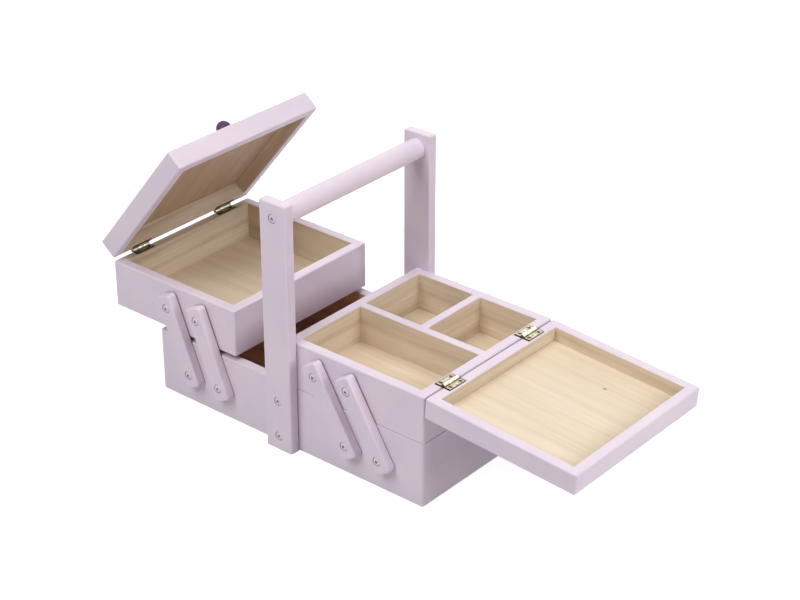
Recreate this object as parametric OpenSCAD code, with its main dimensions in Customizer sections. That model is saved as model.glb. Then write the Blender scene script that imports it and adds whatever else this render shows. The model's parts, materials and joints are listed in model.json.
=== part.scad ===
// Wooden sewing carrier: an open base box, two trays that swing out on flat arms,
// a hinged lid on each tray, and a fixed handle of two uprights and a dowel.
// Millimetres, +Z up. X runs along the box, the face at -Y is the front, and the
// origin is the centre of the base's underside. The left tray is swung out with its
// lid half open; the right tray is closed with its lid turned right over.

/* [Base box] */
// Length of the base box
base_l = 240; // [210:1:300]
// Depth of the base box, front face to back face
base_w = 138; // [110:1:180]
// Height of the base box
base_h = 48; // [44:1:70]
// Thickness of the box boards and the lid rails
wall = 7.5; // [6:0.5:10]
// Thickness of the base floor, let in flush with the underside
base_floor_t = 4; // [3:0.5:6]

/* [Trays] */
// Height of a tray's boards
tray_h = 35; // [31:1:50]
// Thickness of a tray floor
tray_floor_t = 3; // [2:0.5:4]
// Height of a tray floor above the lower edges of the tray's boards
floor_up = 4; // [1:0.5:6]
// Gap between the two closed trays
middle_gap = 3; // [2:0.5:6]
// Gap between a tray's long side and the handle upright beside it
side_gap = 0.4; // [0.2:0.1:1]
// Gap between the base rim and a closed tray
seat_gap = 0.2; // [0.1:0.1:0.5]
// Thickness of the dividers
divider_t = 6.5; // [4:0.5:8]
// Distance of the long divider behind the middle of the tray
divider_back = 1; // [-10:1:10]

/* [Lids] */
// Height of a lid's rails
lid_h = 15; // [12:0.5:20]
// Thickness of a lid's panel
panel_t = 4.5; // [2:0.5:6]
// Angle of the left lid from closed
left_lid_open = 50.9; // [0:0.1:180]
// Angle of the right lid back from lying turned over against the tray's end
right_lid_back = 0; // [0:0.1:180]
// Diameter of the ball knobs
knob_d = 11; // [9:0.5:14]
// Distance from a knob to its lid's free edge
knob_in = 17.5; // [15:0.5:30]
// Radius of a knob's neck
knob_neck_r = 2.6; // [2.2:0.1:3.5]
// Height of a knob's neck
knob_neck_h = 0.5; // [0.3:0.1:3]

/* [Swing arms] */
// Distance between an arm's two pivots
arm_l = 50.3; // [49:0.1:54]
// Width of an arm
arm_w = 14; // [12:0.5:16]
// Thickness of an arm
arm_t = 7; // [5:0.5:8]
// Length of an arm beyond each pivot
arm_end = 9.5; // [8:0.5:10]
// Radius of an arm's corners
arm_corner_r = 2.2; // [1:0.1:4]
// Gap between an arm and the face that it turns on
arm_gap = 0.2; // [0.1:0.1:0.5]
// Distance between the pivots of two neighbouring arms
arm_pitch = 28.7; // [24:0.1:32]
// Distance of the inner arm's lower pivot from the middle of the base
pivot_x = 58.1; // [54:0.1:62]
// Distance of the lower pivots down from the base rim
pivot_down = 22.8; // [19:0.1:24]
// Height of the upper pivots above the lower edges of the tray's boards
pivot_up = 19.9; // [16:0.1:21]
// Fraction of its full swing that the left tray is out, from 0 for closed
left_open_fraction = 0.85; // [0:0.01:1]
// Fraction of its full swing that the right tray is out, from 0 for closed
right_open_fraction = 0; // [0:0.01:1]

/* [Handle] */
// Height of the handle uprights
upright_h = 186; // [170:1:220]
// Width of an upright
upright_w = 23; // [16:1:26]
// Thickness of an upright
upright_t = 8; // [6:0.5:10]
// Radius of an upright's corners
upright_corner_r = 1.5; // [1:0.1:4]
// Diameter of the handle dowel
dowel_d = 15; // [12:0.5:18]
// Distance of the dowel's axis down from the top of the uprights
dowel_down = 11.4; // [9:0.1:16]
// Height of the lower screw that holds an upright to the base
low_screw_up = 10.5; // [8:0.5:14]
// Distance of the upper screw that holds an upright down from the base rim
high_screw_down = 10; // [8:0.5:16]

/* [Screws] */
// Diameter of a screw's head
head_d = 6; // [5:0.1:7]
// Diameter of a screw's shank
shank_d = 3.2; // [2.5:0.1:3.5]
// Depth of a screw's head below the wood
head_sunk = 0.5; // [0.2:0.1:1]
// Depth of a screw's point in the board of the base
board_bite = 5.8; // [4:0.1:5.8]
// Depth of a screw's point in the dowel
dowel_bite = 18.5; // [10:0.5:30]
// Length of the screws that hold the knobs
knob_screw_l = 10; // [8:0.5:12]
// Depth of a knob screw's head below the lid panel's inside
knob_head_sunk = 0.3; // [0.1:0.1:0.5]

/* [Hinges] */
// Length of a hinge
hinge_l = 16; // [12:1:20]
// Distance of a hinge's middle from the tray's long board
hinge_in = 19.1; // [12:0.1:35]
// Width of a leaf from the pin's axis to its edge
leaf_w = 6.3; // [5.5:0.1:7]
// Thickness of a leaf
leaf_t = 0.8; // [0.6:0.1:1]
// Gap between the two leaves of a closed hinge
leaf_gap = 0.2; // [0.1:0.05:0.4]
// Outer radius of the knuckles
knuckle_r = 1.3; // [1.1:0.1:1.5]
// Radius of a hinge pin
pin_r = 0.6; // [0.5:0.05:0.7]
// Distance of the pin's axis outside the tray's end
pin_out = 0.6; // [0.5:0.1:1]
// Height of the pin's axis above the tray's rim
pin_up = 0.5; // [0.5:0.1:0.8]
// Diameter of a hinge screw's head
leaf_head_d = 2.8; // [2:0.1:3]
// Diameter of a hinge screw's shank
leaf_shank_d = 1.5; // [1:0.1:2]
// Length of a hinge screw
leaf_screw_l = 6; // [4:0.5:8]
// Distance of a hinge screw from the leaf's long edge
leaf_screw_in = 2.4; // [2:0.1:2.8]
// Distance of a hinge screw from the leaf's short edge
leaf_screw_end = 2.9; // [2.2:0.1:3.5]

/* [Hidden] */
$fn = 48;

// Sides of the carrier along X and faces of it along Y
LEFT = -1;
RIGHT = 1;
FRONT = -1;
BACK = 1;

// Running clearances on a radius: a pivot screw in its arm, a knuckle on its pin
pivot_play = 0.08;
pin_play = 0.05;
// Clearance on a radius of a screw that is held fast in wood or brass
held_play = 0.03;
// Room around a knuckle in the wood, and around a leaf in its pocket
knuckle_room = 0.25;
leaf_room = 0.1;
// Gap between two knuckles on one pin
knuckle_gap = 0.2;
// Gap between a lid that lies turned over and the tray's end it leans on
lean_gap = 0.05;
// Overshoot of a cut past a face
cut = 1;

// Trays and their boards
tray_l = (base_l - middle_gap) / 2;
tray_w = base_w - 2 * side_gap;
tray_x = middle_gap / 2;
tray_z = base_h + seat_gap;
end_w = tray_w - 2 * wall;
inner_l = tray_l - 2 * wall;

// Arms: a closed tray sets how far they lean towards the middle, and a tray that is
// fully out comes down to the rim again, with its arms leaning as far the other way
arm_y = base_w / 2 + arm_gap;
pivot_z = base_h - pivot_down;
closed_lean = acos((pivot_down + seat_gap + pivot_up) / arm_l);

// Lids: the hinge pin's axis, the outer face above it, and the angle at which a
// lid that is turned right over comes to lean on the tray's end
pin_x = tray_x + tray_l + pin_out;
pin_z = tray_z + tray_h + pin_up;
lid_top = pin_up + lid_h;
lid_corner_r = norm([pin_out, lid_top]);
turned_over = 180 + acos((lean_gap - pin_out) / lid_corner_r) - atan2(lid_top, pin_out);

// Distance of a knob from the hinge pin
knob_x = -(pin_out + tray_l - knob_in);

// Height of the dowel's axis
dowel_z = upright_h - dowel_down;

// Hinges: their distance from the middle, the knuckles' length, the top of a
// tray's leaf measured from the pin's axis, and the places of the leaf's screws
hinge_y = end_w / 2 - hinge_in;
knuckle_l = (hinge_l - 2 * knuckle_gap) / 3;
leaf_top = -leaf_gap / 2;
leaf_screw_x = leaf_w - leaf_screw_in;
leaf_screw_y = hinge_l / 2 - leaf_screw_end;

// Paint, wood and metal colours
lilac = [0.80, 0.75, 0.83];
bare_wood = [0.86, 0.76, 0.60];
brass = [0.72, 0.62, 0.36];
violet = [0.36, 0.22, 0.46];

// A shape for the right side, mirrored to the left when asked
module on_side(side) {
    if (side == LEFT) mirror([1, 0, 0]) children();
    else children();
}

// A shape on the front face, mirrored to the back when asked
module on_face(face) {
    if (face == BACK) mirror([0, 1, 0]) children();
    else children();
}

// Lean of a side's arms away from the middle
function lean(side) =
    closed_lean * (2 * (side == LEFT ? left_open_fraction : right_open_fraction) - 1);

// Moves a closed tray to where its arms carry it
module swung(side) {
    on_side(side)
        translate([
            arm_l * (sin(lean(side)) + sin(closed_lean)),
            0,
            arm_l * (cos(lean(side)) - cos(closed_lean))
        ])
        children();
}

// Turns a lid, drawn closed with its hinge pin on the Y axis, to where it stands
module opened(side) {
    swung(side)
        translate([pin_x, 0, pin_z])
        rotate([0, side == LEFT ? left_lid_open : turned_over - right_lid_back, 0])
        children();
}

// Countersunk wood screw with a cross recess, its head at z = 0 and its point down
module screw(head, shank, length) {
    head_h = (head - shank) / 2;
    point_h = shank;
    tip_d = shank * 0.2;
    slot_w = head * 0.14;
    slot_l = head * 0.6;
    slot_depth = head_h * 0.55;
    difference() {
        union() {
            translate([0, 0, -head_h]) cylinder(h = head_h, d1 = shank, d2 = head);
            translate([0, 0, -(length - point_h)])
                cylinder(h = length - point_h - head_h / 2, d = shank);
            translate([0, 0, -length]) cylinder(h = point_h, d1 = tip_d, d2 = shank);
        }
        for (turn = [0, 90])
            rotate([0, 0, turn])
            translate([-slot_l / 2, -slot_w / 2, -slot_depth])
            cube([slot_l, slot_w, head_h]);
    }
}

// Hole for a screw drawn the same way, open above its head
module screw_hole(head, shank, length, play) {
    head_h = (head - shank) / 2;
    translate([0, 0, -length - play]) cylinder(h = length + cut, r = shank / 2 + play);
    translate([0, 0, -head_h - play])
        cylinder(h = head_h, r1 = shank / 2 + play, r2 = head / 2 + play);
    translate([0, 0, -play]) cylinder(h = cut + play, r = head / 2 + play);
}

// Stands a screw, or its hole, in the front with its head towards the viewer
module from_front(x, head_y, z) {
    translate([x, head_y, z]) rotate([90, 0, 0]) children();
}

// Screws and holes of the boards, uprights and arms
module wood_screw(length) { screw(head_d, shank_d, length); }
module wood_screw_hole(length, play = held_play) { screw_hole(head_d, shank_d, length, play); }

// Places of the lower pivots, and of the upper pivots on a closed tray
lower_pivots = [pivot_x, pivot_x + arm_pitch];
upper_pivots = [for (x = lower_pivots) x - arm_l * sin(closed_lean)];
upper_pivot_z = tray_z + pivot_up;

// Head planes and lengths of the pivot screws and of the screws in the uprights
pivot_head_y = -(arm_y + arm_t - head_sunk);
pivot_screw_l = arm_gap + arm_t - head_sunk + board_bite;
upright_head_y = -(base_w / 2 + upright_t - head_sunk);
upright_screw_l = upright_t - head_sunk + board_bite;
dowel_screw_l = upright_t - head_sunk + dowel_bite;
upright_screws = [low_screw_up, base_h - high_screw_down];

// Long board of the base with its screw holes, drawn for the front
module base_long_board() {
    difference() {
        translate([-base_l / 2, -base_w / 2, 0]) cube([base_l, wall, base_h]);
        for (side = [LEFT, RIGHT], x = lower_pivots)
            from_front(side * x, pivot_head_y, pivot_z) wood_screw_hole(pivot_screw_l);
        for (z = upright_screws)
            from_front(0, upright_head_y, z) wood_screw_hole(upright_screw_l);
    }
}

module base_end() {
    translate([base_l / 2 - wall, -base_w / 2 + wall, 0]) cube([wall, base_w - 2 * wall, base_h]);
}

module base_floor() {
    color(bare_wood)
        translate([-base_l / 2 + wall, -base_w / 2 + wall, 0])
        cube([base_l - 2 * wall, base_w - 2 * wall, base_floor_t]);
}

module base_pivot_screws() {
    color(lilac)
        for (side = [LEFT, RIGHT], face = [FRONT, BACK], x = lower_pivots)
            on_face(face) from_front(side * x, pivot_head_y, pivot_z) wood_screw(pivot_screw_l);
}

// Flat bar with rounded corners, standing on the XZ plane and t thick towards -Y
module bar(w, h, t, r) {
    rotate([90, 0, 0]) linear_extrude(t) {
        translate([-w / 2 + r, 0]) square([w - 2 * r, h]);
        translate([-w / 2, r]) square([w, h - 2 * r]);
        for (x = [-w / 2 + r, w / 2 - r], z = [r, h - r])
            translate([x, z]) circle(r);
    }
}

module handle_upright() {
    color(lilac) difference() {
        translate([0, -base_w / 2, 0]) bar(upright_w, upright_h, upright_t, upright_corner_r);
        for (z = upright_screws)
            from_front(0, upright_head_y, z) wood_screw_hole(upright_screw_l);
        from_front(0, upright_head_y, dowel_z) wood_screw_hole(dowel_screw_l);
    }
}

module handle_dowel() {
    color(lilac) difference() {
        translate([0, base_w / 2, dowel_z]) rotate([90, 0, 0]) cylinder(h = base_w, d = dowel_d);
        for (face = [FRONT, BACK])
            on_face(face) from_front(0, upright_head_y, dowel_z) wood_screw_hole(dowel_screw_l);
    }
}

module handle_dowel_screws() {
    color(lilac)
        for (face = [FRONT, BACK])
            on_face(face) from_front(0, upright_head_y, dowel_z) wood_screw(dowel_screw_l);
}

module handle_base_screws() {
    color(lilac)
        for (face = [FRONT, BACK], z = upright_screws)
            on_face(face) from_front(0, upright_head_y, z) wood_screw(upright_screw_l);
}

// Tray, drawn closed on the right
module tray_long_board(side, face) {
    color(lilac) swung(side) on_face(face) difference() {
        translate([tray_x, -tray_w / 2, tray_z]) cube([tray_l, wall, tray_h]);
        for (x = upper_pivots)
            from_front(x, pivot_head_y, upper_pivot_z) wood_screw_hole(pivot_screw_l);
    }
}

module tray_end(x) {
    translate([x, -end_w / 2, tray_z]) cube([wall, end_w, tray_h]);
}

module tray_outer_end(side) {
    color(lilac) swung(side) difference() {
        tray_end(tray_x + tray_l - wall);
        translate([pin_x, 0, pin_z]) hinge_pockets();
    }
}

module tray_inner_end(side) { color(lilac) swung(side) tray_end(tray_x); }

module tray_floor(side) {
    color(bare_wood) swung(side)
        translate([tray_x + wall, -end_w / 2, tray_z + floor_up])
        cube([inner_l, end_w, tray_floor_t]);
}

module tray_pivot_screws(side) {
    color(lilac) swung(side)
        for (face = [FRONT, BACK], x = upper_pivots)
            on_face(face) from_front(x, pivot_head_y, upper_pivot_z) wood_screw(pivot_screw_l);
}

// Height of the dividers, from the floor to the rim
divider_h = tray_h - floor_up - tray_floor_t;
divider_z = tray_z + floor_up + tray_floor_t;

module long_divider(side) {
    color(bare_wood) swung(side)
        translate([tray_x + wall, divider_back - divider_t / 2, divider_z])
        cube([inner_l, divider_t, divider_h]);
}

module cross_divider(side) {
    color(bare_wood) swung(side)
        translate([tray_x + tray_l / 2 - divider_t / 2, divider_back + divider_t / 2, divider_z])
        cube([divider_t, end_w / 2 - divider_back - divider_t / 2, divider_h]);
}

// Hinges, drawn with the pin on the Y axis and the tray's leaf below it towards -X

// Both hinges of a lid
module each_hinge() {
    for (y = [-hinge_y, hinge_y]) translate([0, y, 0]) children();
}

// Cylinder along Y about the pin's axis, from y0 to y1
module along_pin(y0, y1, r) {
    translate([0, y1, 0]) rotate([90, 0, 0]) cylinder(h = y1 - y0, r = r);
}

// Pockets for the tray's leaves and room for the knuckles in the wood
module hinge_pockets() {
    room_l = hinge_l + 2 * knuckle_room;
    each_hinge() {
        along_pin(-room_l / 2, room_l / 2, knuckle_r + knuckle_room);
        translate([-leaf_w - leaf_room, -hinge_l / 2 - leaf_room, leaf_top - leaf_t])
            cube([leaf_w + leaf_room, hinge_l + 2 * leaf_room, leaf_t + cut]);
        leaf_screws_at() screw_hole(leaf_head_d, leaf_shank_d, leaf_screw_l, held_play);
    }
}

// The two screw places in the face of a leaf
module leaf_screws_at() {
    for (y = [-leaf_screw_y, leaf_screw_y]) translate([-leaf_screw_x, y, leaf_top]) children();
}

// Leaf with its knuckles, given as pairs of start and end along the pin
module leaf(own_knuckles, other_knuckles) {
    difference() {
        union() {
            translate([-leaf_w, -hinge_l / 2, leaf_top - leaf_t]) cube([leaf_w, hinge_l, leaf_t]);
            for (k = own_knuckles) along_pin(k[0], k[1], knuckle_r);
        }
        for (k = other_knuckles)
            along_pin(k[0] - knuckle_gap, k[1] + knuckle_gap, knuckle_r + knuckle_gap);
        along_pin(-hinge_l, hinge_l, pin_r + pin_play);
        leaf_screws_at() screw_hole(leaf_head_d, leaf_shank_d, leaf_screw_l, held_play);
    }
}

outer_knuckles = [
    [-hinge_l / 2, -hinge_l / 2 + knuckle_l],
    [hinge_l / 2 - knuckle_l, hinge_l / 2]
];
middle_knuckle = [[-knuckle_l / 2, knuckle_l / 2]];

module tray_hinge_leaves(side) {
    color(brass) swung(side) translate([pin_x, 0, pin_z])
        each_hinge() leaf(outer_knuckles, middle_knuckle);
}

module tray_hinge_screws(side) {
    color(brass) swung(side) translate([pin_x, 0, pin_z])
        each_hinge() leaf_screws_at() screw(leaf_head_d, leaf_shank_d, leaf_screw_l);
}

module hinge_pins(side) {
    color(brass) swung(side) translate([pin_x, 0, pin_z])
        each_hinge() along_pin(-hinge_l / 2, hinge_l / 2, pin_r);
}

module lid_hinge_leaves(side) {
    color(brass) opened(side)
        each_hinge() mirror([0, 0, 1]) leaf(middle_knuckle, outer_knuckles);
}

module lid_hinge_screws(side) {
    color(brass) opened(side)
        each_hinge() mirror([0, 0, 1]) leaf_screws_at()
        screw(leaf_head_d, leaf_shank_d, leaf_screw_l);
}

// Lid, drawn closed about its hinge pin: its outer end lies at x = -pin_out
module lid_long_rail(side, face) {
    color(lilac) opened(side) on_face(face)
        translate([-pin_out - tray_l, -tray_w / 2, pin_up]) cube([tray_l, wall, lid_h]);
}

module lid_hinge_rail(side) {
    color(lilac) opened(side) difference() {
        translate([-pin_out - wall, -end_w / 2, pin_up]) cube([wall, end_w, lid_h]);
        mirror([0, 0, 1]) hinge_pockets();
    }
}

module lid_free_rail(side) {
    color(lilac) opened(side)
        translate([-pin_out - tray_l, -end_w / 2, pin_up]) cube([wall, end_w, lid_h]);
}

module lid_panel(side) {
    color(bare_wood) opened(side) difference() {
        translate([-pin_out - tray_l + wall, -end_w / 2, lid_top - panel_t])
            cube([inner_l, end_w, panel_t]);
        knob_screw_place() wood_screw_hole(knob_screw_l);
    }
}

// The knob's screw goes up through the panel, with its head just below it
module knob_screw_place() {
    translate([knob_x, 0, lid_top - panel_t + knob_head_sunk]) mirror([0, 0, 1]) children();
}

module knob(side) {
    ball_up = knob_neck_h + sqrt(pow(knob_d / 2, 2) - pow(knob_neck_r, 2));
    color(violet) opened(side) difference() {
        translate([knob_x, 0, lid_top]) {
            difference() {
                translate([0, 0, ball_up]) sphere(d = knob_d);
                translate([-knob_d / 2, -knob_d / 2, -knob_d]) cube([knob_d, knob_d, knob_d]);
            }
            cylinder(h = knob_neck_h + knob_neck_r / 2, r = knob_neck_r);
        }
        knob_screw_place() wood_screw_hole(knob_screw_l);
    }
}

module knob_screw(side) {
    color(brass) opened(side) knob_screw_place() wood_screw(knob_screw_l);
}

// Arm on a side and face; order is 0 for the inner arm and 1 for the outer arm
module arm(side, face, order) {
    color(lilac) on_side(side) on_face(face)
        translate([lower_pivots[order], 0, pivot_z])
        rotate([0, lean(side), 0])
        difference() {
            translate([0, -arm_y, -arm_end]) bar(arm_w, arm_l + 2 * arm_end, arm_t, arm_corner_r);
            for (z = [0, arm_l])
                from_front(0, pivot_head_y, z) wood_screw_hole(pivot_screw_l, pivot_play);
        }
}

color(lilac) base_long_board();  // base_front_board
color(lilac) on_face(BACK) base_long_board();  // base_back_board
color(lilac) on_side(LEFT) base_end();  // base_left_end
color(lilac) base_end();  // base_right_end
base_floor();
base_pivot_screws();
handle_upright();  // front_handle_upright
on_face(BACK) handle_upright();  // back_handle_upright
handle_dowel();
handle_dowel_screws();
handle_base_screws();

tray_long_board(LEFT, FRONT);  // left_tray_front_board
tray_long_board(LEFT, BACK);  // left_tray_back_board
tray_outer_end(LEFT);  // left_tray_outer_end
tray_inner_end(LEFT);  // left_tray_inner_end
tray_floor(LEFT);  // left_tray_floor
tray_pivot_screws(LEFT);  // left_tray_pivot_screws
tray_hinge_leaves(LEFT);  // left_tray_hinge_leaves
tray_hinge_screws(LEFT);  // left_tray_hinge_screws
hinge_pins(LEFT);  // left_hinge_pins

lid_long_rail(LEFT, FRONT);  // left_lid_front_rail
lid_long_rail(LEFT, BACK);  // left_lid_back_rail
lid_hinge_rail(LEFT);  // left_lid_hinge_rail
lid_free_rail(LEFT);  // left_lid_free_rail
lid_panel(LEFT);  // left_lid_panel
lid_hinge_leaves(LEFT);  // left_lid_hinge_leaves
lid_hinge_screws(LEFT);  // left_lid_hinge_screws
knob(LEFT);  // left_knob
knob_screw(LEFT);  // left_knob_screw

tray_long_board(RIGHT, FRONT);  // right_tray_front_board
tray_long_board(RIGHT, BACK);  // right_tray_back_board
tray_outer_end(RIGHT);  // right_tray_outer_end
tray_inner_end(RIGHT);  // right_tray_inner_end
tray_floor(RIGHT);  // right_tray_floor
long_divider(RIGHT);  // right_tray_long_divider
cross_divider(RIGHT);  // right_tray_cross_divider
tray_pivot_screws(RIGHT);  // right_tray_pivot_screws
tray_hinge_leaves(RIGHT);  // right_tray_hinge_leaves
tray_hinge_screws(RIGHT);  // right_tray_hinge_screws
hinge_pins(RIGHT);  // right_hinge_pins

lid_long_rail(RIGHT, FRONT);  // right_lid_front_rail
lid_long_rail(RIGHT, BACK);  // right_lid_back_rail
lid_hinge_rail(RIGHT);  // right_lid_hinge_rail
lid_free_rail(RIGHT);  // right_lid_free_rail
lid_panel(RIGHT);  // right_lid_panel
lid_hinge_leaves(RIGHT);  // right_lid_hinge_leaves
lid_hinge_screws(RIGHT);  // right_lid_hinge_screws
knob(RIGHT);  // right_knob
knob_screw(RIGHT);  // right_knob_screw

arm(LEFT, FRONT, 0);  // left_front_inner_arm
arm(LEFT, FRONT, 1);  // left_front_outer_arm
arm(LEFT, BACK, 0);  // left_back_inner_arm
arm(LEFT, BACK, 1);  // left_back_outer_arm
arm(RIGHT, FRONT, 0);  // right_front_inner_arm
arm(RIGHT, FRONT, 1);  // right_front_outer_arm
arm(RIGHT, BACK, 0);  // right_back_inner_arm
arm(RIGHT, BACK, 1);  // right_back_outer_arm
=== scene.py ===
import json
import math

import bmesh
import bpy
from mathutils import Matrix, Vector


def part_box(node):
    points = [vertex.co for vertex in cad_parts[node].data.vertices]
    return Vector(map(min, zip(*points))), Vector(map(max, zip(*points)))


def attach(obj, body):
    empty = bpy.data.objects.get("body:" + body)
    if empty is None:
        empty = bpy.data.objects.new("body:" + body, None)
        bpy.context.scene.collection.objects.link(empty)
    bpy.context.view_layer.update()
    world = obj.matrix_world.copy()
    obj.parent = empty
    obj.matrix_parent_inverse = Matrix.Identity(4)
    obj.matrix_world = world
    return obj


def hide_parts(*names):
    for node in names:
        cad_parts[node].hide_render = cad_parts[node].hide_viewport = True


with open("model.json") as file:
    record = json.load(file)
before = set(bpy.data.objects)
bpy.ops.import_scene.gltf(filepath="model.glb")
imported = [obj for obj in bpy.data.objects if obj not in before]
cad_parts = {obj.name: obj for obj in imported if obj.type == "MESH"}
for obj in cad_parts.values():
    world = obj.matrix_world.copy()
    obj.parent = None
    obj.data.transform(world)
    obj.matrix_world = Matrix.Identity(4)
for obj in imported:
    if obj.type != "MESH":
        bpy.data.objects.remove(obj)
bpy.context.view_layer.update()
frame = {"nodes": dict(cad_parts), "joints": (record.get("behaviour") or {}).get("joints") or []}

# Sizes of the carrier in metres, as the maker would measure them
BOARD = 0.0075
CORNER_R = 0.0017
RIM_R = 0.0012
INNER_R = 0.0008
SEAM_R = 0.0004
BASE_RIM_R, BASE_FOOT_R = 0.0006, 0.0007
DOWEL_ARRIS, PANEL_ARRIS = 0.0004, 0.0002
BARE_RIM_IN = 0.0028
ARM_W, ARM_T, ARM_END, ARM_SPAN = 0.014, 0.007, 0.0095, 0.0503
ARM_CORNER_R, ARM_ARRIS, ARM_BACK_ARRIS = 0.0026, 0.0014, 0.0005
UPRIGHT_R, UPRIGHT_BACK_R = 0.0013, 0.0009
HEAD_D, SHANK_D, HEAD_SUNK = 0.006, 0.0032, 0.0005
HEAD_ROOM, SHANK_ROOM, DRILLED = 0.00035, 0.00006, 0.04
HEAD_CONE_H = (HEAD_D - SHANK_D) / 2
SHORT_SCREW, LONG_SCREW, DOMED_RISE = 0.0125, 0.026, 0.0010
SLOT_W, SLOT_L, SLOT_DEEP = 0.0006, 0.0024, 0.0010
PIN_OUT = 0.0006
PIN_UP = 0.0005
LID_H, PANEL_T = 0.015, 0.0045
HINGE_L, LEAF_W, KNUCKLE_R = 0.016, 0.0063, 0.0013
KNOB_D, KNOB_IN, KNOB_NECK_R, KNOB_NECK_H = 0.011, 0.0175, 0.0026, 0.0005
LEFT_LID_OPEN = math.radians(50.9)
RIGHT_LID_OPEN = math.radians(184.249)
JOINTS = {joint["name"]: joint for joint in frame["joints"]}
HINGE_YS = (-0.042, 0.042)
KNUCKLE_ROOM = 0.00025
# What counts as the same place
NEAR = 1e-5

# The photograph's view, with the camera's place along its own axes
FOCAL_PX, FRAME_PX, SENSOR = 2040.5, 800, 36
AZIMUTH, ELEVATION = math.radians(39.98), math.radians(28.265)
VIEW_RIGHT, VIEW_UP, VIEW_BACK = 0.03293, 0.07392, 1.4448
ROOM_MIDDLE = (0.0, 0.0, 0.06)

# Wood tones: pale, middle and dark
SIDE_TONES = (0.805, 0.710, 0.580), (0.740, 0.625, 0.480), (0.565, 0.430, 0.305)
FLOOR_TONES = (0.815, 0.705, 0.565), (0.775, 0.655, 0.505), (0.640, 0.510, 0.370)
CREAM_TONES = (0.820, 0.715, 0.565), (0.780, 0.665, 0.510), (0.640, 0.515, 0.375)
# Darker tones for the left lid's inside: painted shade, as that lid stands in shade
SHADED_LID_TONES = (0.590, 0.440, 0.330), (0.510, 0.360, 0.255), (0.380, 0.250, 0.170)
DEEP_TONES = (0.860, 0.610, 0.450), (0.740, 0.490, 0.340), (0.520, 0.310, 0.195)
KNOT_AT = (-0.0675, 0.0362)


# ---- the camera and the room ----

def aim_camera():
    """Camera at the photograph's viewing angle."""
    back = Vector((
        math.sin(AZIMUTH) * math.cos(ELEVATION),
        -math.cos(AZIMUTH) * math.cos(ELEVATION),
        math.sin(ELEVATION),
    ))
    right = Vector((math.cos(AZIMUTH), math.sin(AZIMUTH), 0))
    up = back.cross(right)
    data = bpy.data.cameras.new("camera")
    data.sensor_width = SENSOR
    data.lens = FOCAL_PX / FRAME_PX * SENSOR
    data.clip_start, data.clip_end = 0.05, 20
    camera = bpy.data.objects.new("camera", data)
    camera.matrix_world = Matrix((right, up, back)).transposed().to_4x4()
    camera.location = right * VIEW_RIGHT + up * VIEW_UP + back * VIEW_BACK
    bpy.context.scene.collection.objects.link(camera)
    bpy.context.scene.camera = camera


def area_lamp(name, place, size, power, colour=(1, 1, 1)):
    """A square softbox that faces the middle of the carrier."""
    data = bpy.data.lights.new(name, "AREA")
    data.shape = "SQUARE"
    data.size = size
    data.energy = power
    data.color = colour
    lamp = bpy.data.objects.new(name, data)
    lamp.location = place
    lamp.rotation_euler = (Vector(ROOM_MIDDLE) - Vector(place)).to_track_quat("-Z", "Y").to_euler()
    bpy.context.scene.collection.objects.link(lamp)


def camera_and_mirror_rays(tree):
    """1 for rays from the camera and for what metal and gloss reflect, else 0."""
    rays = tree.nodes.new("ShaderNodeLightPath").outputs
    first = joined_value(tree, "MAXIMUM", rays["Is Camera Ray"], rays["Is Glossy Ray"])
    return joined_value(tree, "MAXIMUM", first, rays["Is Transmission Ray"])


def light_room():
    """Soft light from above and a white surround."""
    world = bpy.data.worlds.new("surround")
    bpy.context.scene.world = world
    world.use_nodes = True
    tree = world.node_tree
    tree.nodes.clear()
    dim = tree.nodes.new("ShaderNodeBackground")
    dim.inputs["Color"].default_value = (0.98, 0.98, 1.0, 1)
    dim.inputs["Strength"].default_value = 0.14
    white = tree.nodes.new("ShaderNodeBackground")
    white.inputs["Color"].default_value = (1, 1, 1, 1)
    white.inputs["Strength"].default_value = 1
    mix = tree.nodes.new("ShaderNodeMixShader")
    out = tree.nodes.new("ShaderNodeOutputWorld")
    tree.links.new(camera_and_mirror_rays(tree), mix.inputs[0])
    tree.links.new(dim.outputs[0], mix.inputs[1])
    tree.links.new(white.outputs[0], mix.inputs[2])
    tree.links.new(mix.outputs[0], out.inputs[0])
    area_lamp("key_softbox", (-0.20, -1.14, 1.30), 1.0, 15.9)
    area_lamp("right_softbox", (1.08, 0.05, 0.56), 0.5, 5.5)
    area_lamp("overhead", (0.1, 0.1, 1.25), 0.8, 5.1, (1.0, 0.95, 0.88))
    area_lamp("back_fill", (-0.75, 1.35, 0.75), 1.0, 5.5)


def lay_floor():
    """A pale floor that keeps the shadow near the carrier and fades to white far from it."""
    bpy.ops.mesh.primitive_plane_add(size=6, location=(0, 0, 0))
    floor = bpy.context.object
    floor.name = "floor"
    mat, tree, shader = finish_named("white_floor")
    shader.inputs["Base Color"].default_value = (0.62, 0.62, 0.62, 1)
    shader.inputs["Roughness"].default_value = 0.9
    shader.inputs["Specular IOR Level"].default_value = 0.1
    shader.inputs["Emission Color"].default_value = (1, 1, 1, 1)
    lift = tree.nodes.new("ShaderNodeMath")
    lift.operation = "MULTIPLY"
    tree.links.new(camera_and_mirror_rays(tree), lift.inputs[0])
    coords = tree.nodes.new("ShaderNodeTexCoord")
    reach = tree.nodes.new("ShaderNodeVectorMath")
    reach.operation = "LENGTH"
    tree.links.new(coords.outputs["Object"], reach.inputs[0])
    tree.links.new(between(tree, reach.outputs["Value"], 0.5, 1.6, 0.76, 1.0), lift.inputs[1])
    tree.links.new(lift.outputs[0], shader.inputs["Emission Strength"])
    floor.data.materials.append(mat)


# ---- materials ----

def joined_value(tree, operation, *values):
    """A Math node; each value is a number or another node's output."""
    made = tree.nodes.new("ShaderNodeMath")
    made.operation = operation
    for slot, value in zip(made.inputs, values):
        if isinstance(value, (int, float)):
            slot.default_value = value
        else:
            tree.links.new(value, slot)
    return made.outputs[0]


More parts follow.
